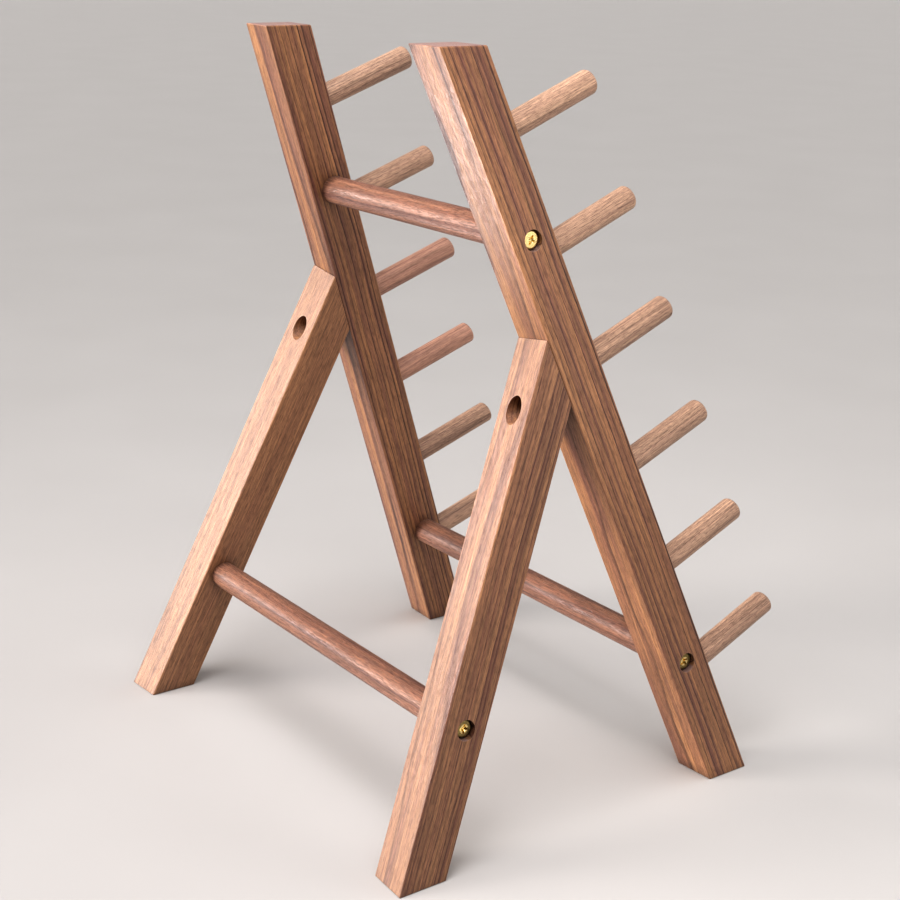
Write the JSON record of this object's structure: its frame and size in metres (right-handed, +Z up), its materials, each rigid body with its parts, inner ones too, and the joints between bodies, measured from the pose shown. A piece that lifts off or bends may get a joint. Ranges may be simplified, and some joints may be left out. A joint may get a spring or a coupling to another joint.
{
  "type": "wooden peg stand",
  "caption": "Free-standing wooden peg stand: inward-tilting A-frames joined by round crossbars, with tiers of forward pegs for laying knives or tools across.",
  "frame": {"origin": "on the floor, under the centre of the stand's bounding box", "axes": "+X to the right across the two side frames, -Y to the front where the pegs point, +Z up"},
  "size_m": [0.2918, 0.271, 0.4],
  "materials": {
    "post_wood": "oiled, satin, straight-grained dark wood",
    "leg_wood": "oiled, satin, straight-grained dark wood",
    "crossbar_wood": "oiled, satin, turned dowel",
    "peg_wood": "oiled, satin, paler turned dowel",
    "screw_metal": "bright yellow"
  },
  "bodies": {
    "root": {"left_post": "post_wood", "left_leg": "leg_wood", "left_peg_1": "peg_wood", "left_peg_2": "peg_wood", "left_peg_3": "peg_wood", "left_peg_4": "peg_wood", "left_peg_5": "peg_wood", "left_peg_6": "peg_wood", "left_top_screw": "screw_metal", "left_front_screw": "screw_metal", "left_rear_screw": "screw_metal", "left_leg_screw": "screw_metal", "right_post": "post_wood", "right_leg": "leg_wood", "right_peg_1": "peg_wood", "right_peg_2": "peg_wood", "right_peg_3": "peg_wood", "right_peg_4": "peg_wood", "right_peg_5": "peg_wood", "right_peg_6": "peg_wood", "right_top_screw": "screw_metal", "right_front_screw": "screw_metal", "right_rear_screw": "screw_metal", "right_leg_screw": "screw_metal", "top_crossbar": "crossbar_wood", "front_crossbar": "crossbar_wood", "rear_crossbar": "crossbar_wood"}
  },
  "joints": []
}
